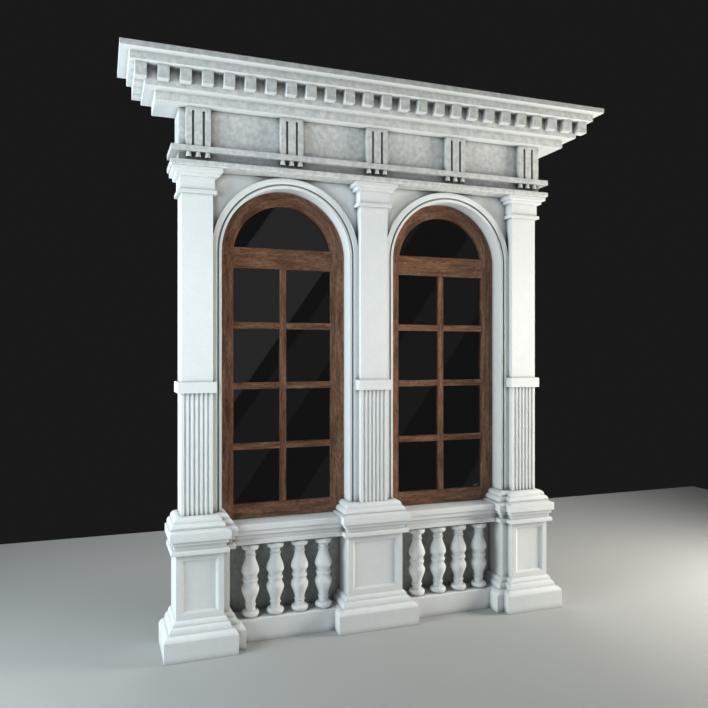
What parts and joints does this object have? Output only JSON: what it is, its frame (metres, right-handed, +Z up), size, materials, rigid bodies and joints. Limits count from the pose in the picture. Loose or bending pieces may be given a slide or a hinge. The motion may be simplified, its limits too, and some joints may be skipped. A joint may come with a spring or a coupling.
{
  "type": "window surround",
  "caption": "Classical stone surround for round-arched timber windows, with pilasters on panelled pedestals, a balustrade under each window and a deep dentil cornice.",
  "frame": {"origin": "on the ground, midway along the front and midway between the flat back and the front edge of the cornice: the centre of the bounding box's underside", "axes": "+X runs along the wall to the viewer's right, -Y points out of the wall towards the viewer, and +Z is up"},
  "size_m": [4.406, 0.693, 4.806],
  "materials": {
    "painted_stone": "white masonry paint, matt and faintly mottled",
    "brown_timber": "mid-brown stained timber, satin",
    "window_glass": "clear polished glass"
  },
  "bodies": {
    "root": {"apron_left": "painted_stone", "apron_right": "painted_stone", "arch_left": "painted_stone", "arch_right": "painted_stone", "architrave": "painted_stone", "baluster_left_1": "painted_stone", "baluster_left_2": "painted_stone", "baluster_left_3": "painted_stone", "baluster_left_4": "painted_stone", "baluster_right_1": "painted_stone", "baluster_right_2": "painted_stone", "baluster_right_3": "painted_stone", "baluster_right_4": "painted_stone", "base_centre": "painted_stone", "base_left": "painted_stone", "base_right": "painted_stone", "bottom_rail_left": "painted_stone", "bottom_rail_right": "painted_stone", "cornice": "painted_stone", "frieze": "painted_stone", "lunette_left": "window_glass", "lunette_right": "window_glass", "pane_left_1a": "window_glass", "pane_left_1b": "window_glass", "pane_left_2a": "window_glass", "pane_left_2b": "window_glass", "pane_left_3a": "window_glass", "pane_left_3b": "window_glass", "pane_left_4a": "window_glass", "pane_left_4b": "window_glass", "pane_right_1a": "window_glass", "pane_right_1b": "window_glass", "pane_right_2a": "window_glass", "pane_right_2b": "window_glass", "pane_right_3a": "window_glass", "pane_right_3b": "window_glass", "pane_right_4a": "window_glass", "pane_right_4b": "window_glass", "pedestal_centre": "painted_stone", "pedestal_left": "painted_stone", "pedestal_right": "painted_stone", "pilaster_centre": "painted_stone", "pilaster_left": "painted_stone", "pilaster_right": "painted_stone", "sill_left": "painted_stone", "sill_right": "painted_stone", "window_frame_left": "brown_timber", "window_frame_right": "brown_timber"}
  },
  "joints": []
}
